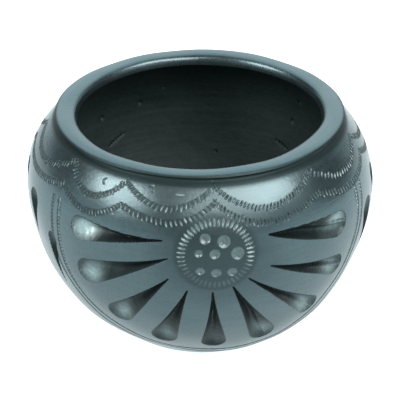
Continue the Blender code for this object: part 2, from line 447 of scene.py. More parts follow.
def petal_shape(half_width, taper, length):
    """A straight taper with a round end: tables of the share of the length, the square of the half-width
    there, and that square's slope per mm."""
    round_part = min(half_width / length, 0.3)
    centre = 1.0 - round_part
    touch = centre - round_part**2 / centre
    width = half_width * math.sqrt(1.0 - (round_part / centre) ** 2)
    share = np.linspace(-0.2, 1.2, 1401)
    straight = PETAL_TIP + (width - PETAL_TIP) * np.maximum(share / touch, 0.0) ** taper
    square = np.where(
        share < touch,
        straight**2 + np.minimum(share, 0.0) * length * 0.8,
        half_width**2 * (1.0 - ((share - centre) / round_part) ** 2),
    )
    return share, square, np.gradient(square, share) / length


def carve_petal(surface, azimuth, petal):
    tip, end, half_width, taper, depth, valley, ridge, gleam, sheen_side = petal
    tip_across, tip_climb = tip
    end_across, end_climb = end
    run = end_across - tip_across
    rise = end_climb - tip_climb
    length = math.hypot(run, rise)
    run /= length
    rise /= length
    low = min(tip_climb, end_climb) - 9
    high = max(tip_climb, end_climb) + 9
    pick, across, climb = surface.local(azimuth, FLOWER_REACH, low, high)
    along = (across - tip_across) * run + (climb - tip_climb) * rise
    lateral = (climb - tip_climb) * run - (across - tip_across) * rise
    near = (along > -PETAL_MARGIN) & (along < length + PETAL_MARGIN)
    near &= np.abs(lateral) < half_width + PETAL_MARGIN
    pick = only(pick, near)
    along = along[near]
    lateral = lateral[near]
    table, squares, slopes = petal_shape(half_width, taper, length)
    share = along / length
    square = np.interp(share, table, squares)
    slope = np.interp(share, table, slopes)
    steepness = np.hypot(2.0 * lateral, slope) + 1e-6
    distance = (lateral**2 - square) / steepness
    # Points this near the outline slide onto it, so that the cut has a clean edge
    onto = np.abs(distance) < SNAP
    pull_along = -distance * -slope / steepness
    pull_lateral = -distance * 2.0 * lateral / steepness
    edge = only(pick, onto)
    slide_across = pull_along * run - pull_lateral * rise
    slide_up = pull_along * rise + pull_lateral * run
    surface.slide(edge, slide_across[onto], slide_up[onto])
    inside = (distance < 0.0) & ~onto
    width = np.sqrt(np.maximum(square, 1e-6))
    side = np.clip(lateral / width, -1.0, 1.0)
    bowl = unit((share - 0.40) / 0.35)
    valley = valley * bowl
    lean = np.where(side > valley, (side - valley) / (1.0 - valley), (valley - side) / (1.0 + valley))
    bottom = depth * (1.0 - PETAL_RUN_OUT * unit((share - 0.45) / 0.55) ** 1.3)
    steep = PETAL_STEEPEST * width
    bottom = bottom * steep / (bottom**4 + steep**4) ** 0.25
    cut = bottom * (1.0 - lean ** (1.35 + 0.35 * bowl))
    wall = np.maximum(-distance, 0.0) * PETAL_WALL
    cut = cut * wall / (cut**4 + wall**4 + 1e-9) ** 0.25
    crest = hump(side - valley + 0.50 * np.sign(valley), 0.0, 0.15) * ridge
    cut = cut - np.minimum(crest * unit((share - 0.4) * 4.0), 0.6 * cut)
    chatter = np.sin(along * 1.9 + lateral * 0.7) + np.sin(along * 3.1 - lateral * 1.6 + 2.0)
    cut = cut + PETAL_CHATTER * chatter * unit(cut)
    inner = only(pick, inside)
    surface.out[inner] -= cut[inside]
    surface.finish[only(pick, distance < 0.0)] = CARVED
    # Painted highlight: the wide end gets a brighter, glossier colour through the wear attribute, strongest
    # in a patch on one side
    wide = unit((share - 0.62 - 0.05 * side) / 0.14)
    patch = np.exp(-(((share - SHEEN_PLACE) / 0.11) ** 2) - ((side - 0.45 * sheen_side) / 0.60) ** 2)
    painted_highlight = gleam * wide * (0.20 + 0.80 * patch)
    surface.wear_and_painted_light[inner] = painted_highlight[inside]
    surface.level[inner] = np.maximum(surface.level[inner], 1)
    rim = only(pick, np.abs(distance) < PETAL_RIM)
    surface.level[rim] = 2


def press(surface, pick, depth, wear_and_painted_light=1.0):
    """Pushes points in by depth, scrapes off the burnish there, painting the scraped clay lighter as a
    painted highlight (darker inside the pot, a painted shade), and asks for fine cells.
    """
    surface.out[pick] -= depth
    scraped = unit(depth / 0.25) * wear_and_painted_light
    surface.wear_and_painted_light[pick] = np.maximum(surface.wear_and_painted_light[pick], scraped)
    touched = only(pick, depth > 0.0)
    surface.level[touched] = 2


def lens(along, across, length, half_width, depth):
    """A short V-shaped cut that narrows to both ends."""
    taper = np.sqrt(np.maximum(1.0 - (2.0 * along / length) ** 2, 0.0))
    return depth * np.maximum(taper - np.abs(across) / half_width, 0.0)


def cut_heart(surface, azimuth):
    pick, across, climb = surface.local(azimuth, 17.0, -18.0, 17.0)
    climb = climb + HEART_DROP
    reach = np.hypot(across, climb + RING_DROP)
    turn = np.arctan2(climb, across)
    step = 2.0 * math.pi / RING_NICKS
    off = (turn / step - np.round(turn / step)) * step * reach
    strength = 0.72 + 0.28 * np.sin(turn)
    # Painted highlight: nicks towards the ring's top are painted brighter than at its bottom, as light from
    # above falls
    bright = np.clip(0.55 + 0.45 * np.sin(turn), 0.25, 1.0)
    nicks = lens(reach - RING_RADIUS, off, NICK_LENGTH, NICK_HALF_WIDTH, NICK_DEPTH)
    press(surface, pick, nicks * strength, bright)
    for spot_across, spot_climb, size in DIMPLES:
        away = np.hypot(across - spot_across, climb - HEART_DROP - spot_climb) / size
        bowl = DIMPLE_DEPTH * np.maximum(1.0 - away**3, 0.0)
        bowl *= 1.0 + 0.10 * np.sin(across * 3.1 + spot_climb) * np.sin(climb * 2.7 + spot_across)
        press(surface, pick, bowl, DIMPLE_WEAR_AND_SHEEN)


def cut_border(surface, azimuth):
    pick, across, climb = surface.local(azimuth, FLOWER_REACH, BORDER_END, BORDER_START)
    for number, (half_width, drop, dash_half_width, wear_and_painted_light, matte_and_painted_shade) in enumerate(BORDER_LINES):
        steps = np.linspace(-math.pi - 0.3, 0.3, 4000)
        run = np.diff(half_width * np.cos(steps))
        rise = np.diff(drop * np.sin(steps))
        lengths = np.concatenate([[0.0], np.cumsum(np.hypot(run, rise))])
        angle = np.arctan2(climb / drop, across / half_width)
        angle = np.where(angle > 1.0, angle - 2.0 * math.pi, angle)
        along = np.interp(angle, steps, lengths)
        gauge = (across / half_width) ** 2 + (climb / drop) ** 2 - 1.0
        away = gauge / (2.0 * np.hypot(across / half_width**2, climb / drop**2) + 1e-6)
        away = away + 0.35 * np.sin(along / 9.0 + number)
        along = along + 0.7 * away
        off = along - BORDER_PITCH * np.round(along / BORDER_PITCH)
        press(surface, pick, lens(off, away, DASH_LENGTH, dash_half_width, DASH_DEPTH), wear_and_painted_light)
        band = only(pick, np.abs(away) < BORDER_BAND)
        surface.matte_and_painted_shade[band] = matte_and_painted_shade


def garland_rows(azimuth):
    """Climb of the two rows of the garland at each azimuth, and the pitch of their stitches."""
    peaks = list(GARLAND) + [(GARLAND[0][0] + 360.0,) + GARLAND[0][1:]]
    azimuth = (azimuth - peaks[0][0]) % 360.0 + peaks[0][0]
    upper = np.zeros_like(azimuth)
    lower = np.zeros_like(azimuth)
    pitch = np.ones_like(azimuth)
    for this, following in zip(peaks, peaks[1:]):
        start, upper_start, lower_start, upper_hollow, lower_hollow, this_pitch = this
        share = (azimuth - start) / (following[0] - start)
        here = (share >= 0.0) & (share <= 1.0)
        rise = np.abs(2.0 * share - 1.0) ** HOLLOW
        upper_peak = upper_start + (following[1] - upper_start) * share
        lower_peak = lower_start + (following[2] - lower_start) * share
        upper = np.where(here, upper_hollow + (upper_peak - upper_hollow) * rise, upper)
        lower = np.where(here, lower_hollow + (lower_peak - lower_hollow) * rise, lower)
        pitch = np.where(here, this_pitch, pitch)
    return upper, lower, pitch


def cut_garland(surface):
    pick = np.nonzero((surface.arc > GARLAND_LOW) & (surface.arc < GARLAND_HIGH))
    azimuth = surface.azimuth[pick]
    climb = surface.arc[pick]
    around = np.arange(0.0, 360.0, GARLAND_STEP)
    upper, lower, pitches = garland_rows(around)
    pitch = garland_rows(azimuth)[2]
    for number, row in enumerate((upper, lower)):
        radius = np.interp(row, ARC, ARC_RADIUS)
        slope = np.gradient(row) / (np.radians(GARLAND_STEP) * radius)
        count = np.cumsum(np.hypot(1.0, slope) * np.radians(GARLAND_STEP) * radius / pitches)
        count *= round(count[-1]) / count[-1]
        tilt = np.arctan(np.interp(azimuth, around, slope))
        above = climb - np.interp(azimuth, around, row)
        away = above * np.cos(tilt)
        slant = math.tan(math.radians(STITCH_SLANT)) * (1.0 if number else -1.0)
        lean = above * np.sin(tilt) * 0.8 + away * slant
        place = np.interp(azimuth, around, count) + lean / pitch
        stitch = np.round(place)
        off = (place - stitch) * pitch
        waver = 0.25 * np.sin(stitch * 2.4 + number) + 0.15 * np.sin(stitch * 0.9)
        strength = 0.78 + 0.22 * np.sin(stitch * 1.7 + 3.0 * number)
        # Painted highlight on the stitches' scraped clay, weaker where the shoulder's highlights lie
        bright = 0.72
        for centre, width, loss in SHADED_STITCHES:
            bright = bright - loss * bell(azimuth, centre, width)
        stitches = lens(away + waver, off, STITCH_LENGTH, STITCH_HALF_WIDTH * pitch, STITCH_DEPTH)
        press(surface, pick, stitches * strength, bright)


def soft_spot(surface, azimuth, arc, size, depth):
    """A round pit with soft edges."""
    pick, across, climb = surface.near(azimuth, arc, 3.0 * size)
    away = np.hypot(across, climb) / size
    near = away < 2.5
    pick = only(pick, near)
    press(surface, pick, depth * np.exp(-away[near] ** 2), SPOT_WEAR_AND_PAINTED_LIGHT)


def cut_slits(surface):
    for azimuth, height, slant, length in SLITS:
        pick, across, climb = surface.near(azimuth, inside_arc(height), 12.0)
        angle = math.radians(slant)
        along = across * math.cos(angle) + climb * math.sin(angle)
        away = climb * math.cos(angle) - across * math.sin(angle)
        # The slits inside take the full worn colour, a darker painted shade
        press(surface, pick, lens(along, away, length, SLIT_HALF_WIDTH, SLIT_DEPTH))


def cut_slips(surface):
    """A fingernail's crescent and a short scrape on the front of the shoulder."""
    pick, across, climb = surface.local(CRESCENT[0], 4.0, CRESCENT[1] - 3.0, CRESCENT[1] + 3.0)
    reach = np.hypot(across, climb - CRESCENT[1])
    side = unit(0.4 - across / (reach + 0.01))
    press(surface, pick, SLIP_DEPTH * side * hump(reach, 1.2, 0.3), 0.2)
    pick, across, climb = surface.local(SCRAPE[0], 5.0, SCRAPE[1] - 2.0, SCRAPE[1] + 2.0)
    press(surface, pick, lens(across, climb - SCRAPE[1], 4.2, 0.5, 0.35))


def shape_by_hand(surface):
    """The unevenness of a pot made without a wheel: the wall wanders, and the lip widens at the sides."""
    azimuth = surface.azimuth
    arc = surface.arc
    angle = np.radians(azimuth)
    climb = arc / WAVE_CLIMB
    top = ARC[TOP_OF_LIP]
    wander = 0.0
    for number, twist, phase, depth in WAVES:
        wander = wander + depth * np.sin(number * angle + twist * climb + phase)
    wander = wander + SWELL
    height = np.interp(arc, ARC, ARC_HEIGHT)
    bulge = 0.0
    for centre, width, middle, reach, depth in BULGES:
        bulge = bulge + depth * bell(azimuth, centre, width) * hump(height, middle, reach)
    wander = wander + bulge * (arc < top)
    foot = unit((arc - ARC[0]) / 12.0)
    inside = unit((arc - top) / 10.0)
    surface.out += wander * foot * (1.0 - 0.6 * inside)
    # The lip hangs over a tucked-in crease, and its top is pressed down
    roll = unit((arc - FOLD) / 0.9)
    lip_out = roll * roll * (3.0 - 2.0 * roll) * hump(np.maximum(arc - FOLD - 1.4, 0.0), 0.0, 2.4)
    surface.sideways += (OVERHANG[0] + OVERHANG[1] * np.sin(angle) ** 2) * lip_out
    surface.sideways -= TUCK * hump(arc - FOLD, -0.1, 0.8)
    surface.out += 0.35 * hump(arc, CREASE, 4.0) * np.sin(angle) ** 6
    surface.out -= (PRESSED_DOWN[0] + PRESSED_DOWN[1] * bell(azimuth, 180.0, 60.0)) * hump(arc, top, 4.0)
    near_fold = np.abs(arc - FOLD) < 1.8
    surface.level[near_fold] = np.maximum(surface.level[near_fold], 1)
    lip_in = hump(arc, top + 4.2, 4.5)
    mouth = 0.0
    for centre, width, distance in MOUTH:
        mouth = mouth + distance * bell(azimuth, centre, width)
    surface.sideways += mouth * lip_in
    surface.sideways += 0.35 * mouth * lip_out


def paint_matte_and_shade(surface):
    """Where the burnishing stone didn't reach, painted matte and darker as painted shade: under the lip, in
    the hearts and between stitched rows.
    """
    # Painted shade in the crease under the lip
    below = unit((FOLD - 2.6 - surface.arc) / UNDER_LIP)
    above = unit((surface.arc - FOLD - 1.5) / 0.6)
    shade_under_lip = (1.0 - below) ** 2 * (1.0 - above)
    surface.matte_and_painted_shade = np.maximum(surface.matte_and_painted_shade, shade_under_lip)
    for azimuth in (FRONT, BACK):
        # Painted shade over each flower's heart
        pick, across, climb = surface.local(azimuth, 30.0, -29.0, 29.0)
        reach = np.hypot(across, climb + HEART_DROP)
        patch = 0.0
        for strength, radius, fade in HEART_SHADE:
            patch = patch + strength * unit((radius - reach) / fade)
        surface.matte_and_painted_shade[pick] = np.maximum(surface.matte_and_painted_shade[pick], patch)
    upper, lower, _ = garland_rows(surface.azimuth)
    # Painted shade on the stitched rows, weaker where the right highlight lies, and stronger between the
    # rows there
    on_row = ROW_SHADE - 0.50 * bell(surface.azimuth, 26.0, 20.0)
    for row in (upper, lower):
        near_row = unit((ROW_HALF_WIDTH - np.abs(surface.arc - row)) / 0.4)
        surface.matte_and_painted_shade = np.maximum(surface.matte_and_painted_shade, on_row * near_row)
    between = unit((np.minimum(upper - surface.arc, surface.arc - lower) + 1.2) / 1.5)
    in_between = BETWEEN_SHADE + 0.40 * bell(surface.azimuth, 26.0, 26.0)
    surface.matte_and_painted_shade = np.maximum(surface.matte_and_painted_shade, in_between * between)


def decorate():
    surface = Surface()
    for azimuth in (FRONT, BACK):
        for petal in FLOWER_PETALS:
            carve_petal(surface, azimuth, petal)
        cut_heart(surface, azimuth)
        cut_border(surface, azimuth)
    for azimuth, top, tip, half_width in SIDE_PETALS:
        carve_petal(surface, azimuth, ((0.0, tip), (0.0, top), half_width) + SIDE_STYLE)
    cut_garland(surface)
    for azimuth, climb, size in SLIPS:
        soft_spot(surface, azimuth, climb, size, SLIP_DEPTH)
    for azimuth, height, size in PITS:
        soft_spot(surface, azimuth, inside_arc(height), size, PIT_DEPTH)
    cut_slits(surface)
    cut_slips(surface)
    paint_matte_and_shade(surface)
    surface.finish[(surface.arc > INTERIOR_START) & (surface.finish == BURNISHED)] = INTERIOR
    shape_by_hand(surface)
    return surface


# ---------------------------------------------------------------- mesh

SHARP = math.cos(math.radians(30.0))  # faces that bend more than this get separate normals
MOST_FACES_AT_POINT = 4


def spread(mask):
    """The largest value at a grid point or one of its eight neighbours."""
    mask = np.maximum(mask, np.maximum(np.roll(mask, 1, axis=1), np.roll(mask, -1, axis=1)))
    grown = mask.copy()
    grown[1:] = np.maximum(grown[1:], mask[:-1])
    grown[:-1] = np.maximum(grown[:-1], mask[1:])
    return grown


def cell_corners(cell_levels):
    """Lower-left fine row and column of every cell, by cell size."""
    cells = {}
    for level, size in ((0, FINE), (1, FINE // 2), (2, FINE // 4)):
        row, column = np.nonzero(cell_levels == level)
        inner = np.arange(0, FINE, size)
        rows = (row[:, None, None] * FINE + inner[None, :, None]).repeat(len(inner), axis=2)
        columns = (column[:, None, None] * FINE + inner[None, None, :]).repeat(len(inner), axis=1)
        cells[size] = (rows.reshape(-1), columns.reshape(-1))
    return cells


def ring_of(size):
    """Row and column offsets round a cell, anticlockwise seen from outside."""
    steps = range(size)
    around = [(0, s) for s in steps] + [(s, size) for s in steps]
    around += [(size, size - s) for s in steps] + [(size - s, 0) for s in steps]
    return np.array(around)


class Skin:
    """The whole pot's faces: a flat array of corners, and each face's number of corners and base row."""

    def __init__(self, surface):
        level = spread(surface.level)
        blocks = level[:-1].reshape(PLAIN_ROWS, FINE, COLUMNS, FINE).max(axis=(1, 3))
        cells = cell_corners(blocks)
        self.present = np.zeros(level.shape, bool)
        for size, (rows, columns) in cells.items():
            for row_offset in (0, size):
                for column_offset in (0, size):
                    self.present[rows + row_offset, (columns + column_offset) % FINE_COLUMNS] = True
        corners = []
        counts = []
        base_rows = []
        finishes = []
        for size, (rows, columns) in cells.items():
            ring = ring_of(size)
            row = rows[:, None] + ring[None, :, 0]
            column = (columns[:, None] + ring[None, :, 1]) % FINE_COLUMNS
            kept = self.present[row, column]
            corners.append((row * FINE_COLUMNS + column)[kept])
            counts.append(kept.sum(axis=1))
            base_rows.append(rows // FINE)
            middle = (rows + size // 2, (columns + size // 2) % FINE_COLUMNS)
            finishes.append(surface.finish[middle])
        self.corners = np.concatenate(corners)
        self.counts = np.concatenate(counts)
        self.base_rows = np.concatenate(base_rows)
        self.finishes = np.concatenate(finishes)
        self.starts = np.concatenate([[0], np.cumsum(self.counts)[:-1]])
        self.points = surface.points().reshape(-1, 3)
        self.wear_and_painted_light = surface.wear_and_painted_light.reshape(-1)
        self.matte_and_painted_shade = surface.matte_and_painted_shade.reshape(-1)
        self.normals = self.corner_normals()

    def row_ring(self, row, low, high):
        """The grid points present on one row, from one fine column to another."""
        columns = np.arange(low, high)
        kept = self.present[row, columns % FINE_COLUMNS]
        return row * FINE_COLUMNS + (columns % FINE_COLUMNS)[kept]

    def corner_normals(self):
        """A normal for each face corner: smooth over the surface, split where it bends sharply."""
        last = self.starts + self.counts - 1
        following = np.arange(len(self.corners)) + 1
        following[last] = self.starts
        previous = np.empty_like(following)
        previous[following] = np.arange(len(following))
        here = self.points[self.corners]
        ahead = self.points[self.corners[following]] - here
        behind = self.points[self.corners[previous]] - here
        origin = np.repeat(self.points[self.corners[self.starts]], self.counts, axis=0)
        onward = self.points[self.corners[following]] - origin
        flat = np.add.reduceat(np.cross(here - origin, onward), self.starts)
        flat /= np.linalg.norm(flat, axis=1, keepdims=True) + 1e-20
        lengths = np.linalg.norm(ahead, axis=1) * np.linalg.norm(behind, axis=1) + 1e-20
        weight = np.arccos(np.clip((ahead * behind).sum(axis=1) / lengths, -1.0, 1.0))
        face_normal = np.repeat(flat, self.counts, axis=0)
        order = np.argsort(self.corners, kind="stable")
        point = self.corners[order]
        sorted_normal = face_normal[order]
        sorted_weight = weight[order]
        total = sorted_normal * sorted_weight[:, None]
        for shift in range(1, MOST_FACES_AT_POINT):
            same = np.nonzero(point[shift:] == point[:-shift])[0]
            other = same + shift
            level = (sorted_normal[same] * sorted_normal[other]).sum(axis=1) > SHARP
            same = same[level]
            other = other[level]
            total[same] += sorted_normal[other] * sorted_weight[other, None]
            total[other] += sorted_normal[same] * sorted_weight[same, None]
        total /= np.linalg.norm(total, axis=1, keepdims=True) + 1e-20
        result = np.empty_like(total)
        result[order] = total
        return result


def flat_normal(points):
    centre = points.mean(axis=0)
    total = np.cross(points - centre, np.roll(points, -1, axis=0) - centre).sum(axis=0)
    return total / np.linalg.norm(total)


class Solid:
    """One piece of the pot as it is gathered: polygons, their corner normals and their finish."""

    def __init__(self, skin):
        self.skin = skin
        self.corners = []
        self.counts = []
        self.normals = []
        self.finishes = []

    def add_rows(self, low, high):
        """The skin between two fine rows."""
        skin = self.skin
        wanted = (skin.base_rows >= low // FINE) & (skin.base_rows < high // FINE)
        loops = np.repeat(wanted, skin.counts)
        self.corners.append(skin.corners[loops])
        self.counts.append(skin.counts[wanted])
        self.normals.append(skin.normals[loops])
        self.finishes.append(skin.finishes[wanted])

    def add_face(self, corners, finish):
        self.corners.append(corners)
        self.counts.append(np.array([len(corners)]))
        self.normals.append(np.repeat(flat_normal(self.skin.points[corners])[None], len(corners), axis=0))
        self.finishes.append(np.array([finish], np.int8))

    def add_joint(self, outer_row, inner_row, facing_up):
        """The bedding face of a coil, from the outside seam to the inside one."""
        for column in range(COLUMNS):
            low = column * FINE
            outer = self.skin.row_ring(outer_row, low, low + FINE + 1)
            inner = self.skin.row_ring(inner_row, low, low + FINE + 1)
            ring = np.concatenate([outer, inner[::-1]])
            self.add_face(ring if facing_up else ring[::-1], BURNISHED)

    def make(self, name, materials):
        corners = np.concatenate(self.corners)
        counts = np.concatenate(self.counts)
        used, corners = np.unique(corners, return_inverse=True)
        mesh = bpy.data.meshes.new(name)
        mesh.vertices.add(len(used))
        mesh.vertices.foreach_set("co", self.skin.points[used].astype(np.float32).reshape(-1))
        mesh.loops.add(len(corners))
        mesh.loops.foreach_set("vertex_index", corners.reshape(-1).astype(np.int32))
        mesh.polygons.add(len(counts))
        starts = np.concatenate([[0], np.cumsum(counts)[:-1]]).astype(np.int32)
        mesh.polygons.foreach_set("loop_start", starts)
        mesh.polygons.foreach_set("material_index", np.concatenate(self.finishes).astype(np.int32))
        mesh.update(calc_edges=True)
        mesh.polygons.foreach_set("use_smooth", np.ones(len(counts), bool))
        for material in materials:
            mesh.materials.append(material)
        mesh.normals_split_custom_set(np.concatenate(self.normals))
        # The painted highlight and the painted shade reach the shader as point attributes
        for label, values in (("wear_and_painted_light", self.skin.wear_and_painted_light), ("matte_and_painted_shade", self.skin.matte_and_painted_shade)):
            attribute = mesh.attributes.new(label, "FLOAT", "POINT")
            attribute.data.foreach_set("value", values[used].astype(np.float32))
        piece = bpy.data.objects.new(name, mesh)
        bpy.context.scene.collection.objects.link(piece)
        return piece


def build_pot(materials):
    skin = Skin(decorate())
    top = len(PIECES) - 1
    for number, node in enumerate(PIECES):
        solid = Solid(skin)
        solid.add_rows(SEAM_ROWS[number], SEAM_ROWS[number + 1])
        if number < top:
            inside_low = SEAM_ROWS[2 * top - number]
            inside_high = SEAM_ROWS[2 * top - number + 1]
            solid.add_rows(inside_low, inside_high)
            solid.add_joint(SEAM_ROWS[number + 1], inside_low, True)
        if number == 0:
            solid.add_face(skin.row_ring(0, 0, FINE_COLUMNS)[::-1], CARVED)
            solid.add_face(skin.row_ring(len(ROWS) - 1, 0, FINE_COLUMNS), INTERIOR)
        elif number < top:
            solid.add_joint(SEAM_ROWS[number], inside_high, False)
        else:
            solid.add_joint(SEAM_ROWS[number], SEAM_ROWS[number + 1], False)
        piece = solid.make("clay_" + node, materials)
        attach(piece, "root")
        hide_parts(node)


# ---------------------------------------------------------------- clay


class Nodes:
    """A short way to write a shader tree."""

    def __init__(self, tree):
        self.tree = tree

    def add(self, kind, inputs=None, **settings):
        node = self.tree.nodes.new(kind)
        for name, value in settings.items():
            setattr(node, name, value)
        for key, value in (inputs or {}).items():
            if hasattr(value, "is_output"):
                self.tree.links.new(value, node.inputs[key])
            else:
                node.inputs[key].default_value = value
        return node

    def math(self, operation, first, second=0.0):
        return self.add("ShaderNodeMath", {0: first, 1: second}, operation=operation).outputs[0]

    def noise(self, vector, scale, detail=2.0, roughness=0.5):
        inputs = {"Vector": vector, "Scale": scale, "Detail": detail, "Roughness": roughness}
        return self.add("ShaderNodeTexNoise", inputs).outputs["Fac"]

    def blend(self, *terms):
        """The sum of some outputs, each times its weight."""
        total = None
        for output, weight in terms:
            part = self.math("MULTIPLY", output, weight)
            total = part if total is None else self.math("ADD", total, part)
        return total

    def mix(self, fac, first, second):
        return self.add("ShaderNodeMix", {0: fac, 2: first, 3: second}).outputs[0]

    def mix_colour(self, fac, first, second):
        inputs = {0: fac, 6: first, 7: second + (1.0,)}
        return self.add("ShaderNodeMix", inputs, data_type="RGBA").outputs[2]

    def between(self, fac, low, high):
        """Noise stretched so that its usual range runs from low to high."""
        inputs = {"Value": fac, "From Min": 0.3, "From Max": 0.7, "To Min": low, "To Max": high}
        return self.add("ShaderNodeMapRange", inputs).outputs["Result"]

    def colours(self, fac, *stops):
        ramp = self.add("ShaderNodeValToRGB", {"Fac": fac})
        elements = ramp.color_ramp.elements
        while len(elements) < len(stops):
            elements.new(0.5)
        for element, (position, colour) in zip(elements, stops):
            element.position = position
            element.color = colour + (1.0,)
        return ramp.outputs["Color"]

    def bump(self, height, distance, normal=None):
        inputs = {"Height": height, "Distance": distance, "Strength": 1.0}
        if normal is not None:
            inputs["Normal"] = normal
        return self.add("ShaderNodeBump", inputs).outputs["Normal"]


# Noise in the clay, in features per metre, and the depth of the relief that it makes in mm
DRIFT_SCALE = 45.0
MOTTLE_SCALE = 750.0
MOTTLE_DEPTH = 0.05
GRAIN_SCALE = 1400.0
GRAIN_DEPTH = 0.028
STREAK_RELIEF = 0.10  # depth of the streaks, in bump depths
DRIFT_RELIEF = 0.8
STREAK_LEAN = 0.6  # how far the streaks follow cones and not level planes
# Look of the matte clay, whose dark colour is a painted shade
MATTE_AND_SHADE_LOOK = ((0.016, 0.030, 0.032), 0.50, 0.90)  # colour, roughness, metallic


def clay(name, dark, light, metallic, roughness_range, streak, bump_depth, wear_and_painted_light_look):
    """Fired clay: drifting tone, tool streaks that run round the pot, fine grain, and scraped places with
    painted light.

    streak is the length and width of the tool streaks in mm. The worn look argument gives the colour,
    roughness and metallic of the clay where the mesh's scrape attribute is 1: scraped clay with a painted
    highlight on the burnished and carved clay, and a painted shade inside. The matte attribute makes the
    rest matte and darker, a painted shade.
    """
    streak_length, streak_width = streak
    material = bpy.data.materials.new(name)
    material.use_nodes = True
    tree = material.node_tree
    tree.nodes.clear()
    nodes = Nodes(tree)
    place = nodes.add("ShaderNodeTexCoord").outputs["Object"]
    axes = nodes.add("ShaderNodeSeparateXYZ", {0: place}).outputs
    flat = nodes.add("ShaderNodeCombineXYZ", {"X": axes["X"], "Y": axes["Y"]}).outputs[0]
    radius = nodes.add("ShaderNodeVectorMath", {0: flat}, operation="LENGTH").outputs["Value"]
    level = nodes.math("SUBTRACT", axes["Z"], nodes.math("MULTIPLY", radius, STREAK_LEAN))
    stretched = nodes.math("MULTIPLY", level, streak_length / streak_width)
    banded = nodes.add("ShaderNodeCombineXYZ", {"X": axes["X"], "Y": axes["Y"], "Z": stretched}).outputs[0]
    streaks = nodes.noise(banded, 1.0 / (streak_length * MM), 3.0, 0.55)
    drift = nodes.noise(place, DRIFT_SCALE, 3.0, 0.55)
    mottle = nodes.noise(place, MOTTLE_SCALE, 3.0, 0.6)
    grain = nodes.noise(place, GRAIN_SCALE, 2.0, 0.6)
    tone = nodes.blend((streaks, 0.25), (drift, 0.45), (mottle, 0.30))
    colour = nodes.colours(tone, (0.34, dark), (0.66, light))
    rubbed = nodes.blend((streaks, 0.3), (drift, 0.3), (mottle, 0.4))
    roughness = nodes.between(rubbed, *roughness_range)
    waves = nodes.bump(streaks, STREAK_RELIEF * bump_depth * MM)
    waves = nodes.bump(drift, DRIFT_RELIEF * bump_depth * MM, waves)
    waves = nodes.bump(mottle, MOTTLE_DEPTH * MM, waves)
    normal = nodes.bump(grain, GRAIN_DEPTH * MM, waves)
    wear_and_painted_light = nodes.add("ShaderNodeAttribute", attribute_name="wear_and_painted_light").outputs["Fac"]
    wear_and_painted_light = nodes.math("MULTIPLY", wear_and_painted_light, nodes.between(mottle, 0.7, 1.15))
    wear_and_painted_light_colour, worn_roughness, worn_metallic = wear_and_painted_light_look
    colour = nodes.mix_colour(wear_and_painted_light, colour, wear_and_painted_light_colour)
    roughness = nodes.mix(wear_and_painted_light, roughness, worn_roughness)
    metal = nodes.mix(wear_and_painted_light, metallic, worn_metallic)
    # The matte clay is painted darker, a painted shade
    matte_shade_colour, matte_roughness, matte_metallic = MATTE_AND_SHADE_LOOK
    matte_and_painted_shade = nodes.add("ShaderNodeAttribute", attribute_name="matte_and_painted_shade").outputs["Fac"]
    matte_and_painted_shade = nodes.math("MULTIPLY", matte_and_painted_shade, nodes.math("SUBTRACT", 1.0, wear_and_painted_light))
    colour = nodes.mix_colour(matte_and_painted_shade, colour, matte_shade_colour)
    roughness = nodes.mix(matte_and_painted_shade, roughness, matte_roughness)
    metal = nodes.mix(matte_and_painted_shade, metal, matte_metallic)
    shader = nodes.add(
        "ShaderNodeBsdfPrincipled",
        {"Base Color": colour, "Metallic": metal, "Roughness": roughness, "Normal": normal},
    )
    output = nodes.add("ShaderNodeOutputMaterial")
    tree.links.new(shader.outputs[0], output.inputs["Surface"])
    return material


def clays():
    """The pot's finishes, in the order of BURNISHED, CARVED and INTERIOR."""
    # The worn looks are painted light: a painted highlight on the burnished and carved clay, a painted shade
    # inside the pot.
    burnished = clay(
        "burnished clay",
        dark=(0.055, 0.090, 0.100),
        light=(0.079, 0.124, 0.135),
        metallic=0.85,
        roughness_range=(0.23, 0.35),
        streak=(14.0, 1.2),
        bump_depth=0.2,
        wear_and_painted_light_look=((0.250, 0.350, 0.360), 0.42, 0.6),
    )
    # The carved clay is darker than the burnished partly for its matte cut and partly as painted shade in
    # the deep cuts; its worn look is a painted highlight.
    carved = clay(
        "carved clay",
        dark=(0.007, 0.013, 0.014),
        light=(0.016, 0.029, 0.031),
        metallic=0.80,
        roughness_range=(0.42, 0.60),
        streak=(9.0, 1.4),
        bump_depth=0.35,
        wear_and_painted_light_look=((0.300, 0.420, 0.430), 0.30, 0.92),
    )
    interior = clay(
        "matte inner clay",
        dark=(0.013, 0.028, 0.029),
        light=(0.023, 0.044, 0.045),
        metallic=0.60,
        roughness_range=(0.55, 0.75),
        streak=(60.0, 2.2),
        bump_depth=1.4,
        wear_and_painted_light_look=((0.012, 0.022, 0.022), 0.60, 0.8),
    )
    return [burnished, carved, interior]


# ---------------------------------------------------------------- studio

TABLE_SIZE = 12.0
TABLE_ALBEDO = 0.3
# The table glows, except round a point in front of the pot: (distance from it, glow), in metres
TABLE_DARK_SPOT = (0.0, -0.42, 0.0)
TABLE_GLOW = ((0.02, 0.08), (0.34, 0.98), (0.60, 1.35))
LIGHT_TINT = (0.88, 1.0, 1.03, 1.0)

# Softboxes: name, azimuth, elevation, distance, width, height, power
SOFTBOXES = (
    ("left softbox", -64.0, 36.0, 1.3, 0.60, 0.56, 12.5),
    ("right softbox", 36.5, 45.0, 1.3, 1.40, 0.70, 27.0),
)
SOFTBOX_TINT = (1.0, 0.86, 0.82)
SOFTBOX_AIM = 0.06  # height of the point that they face

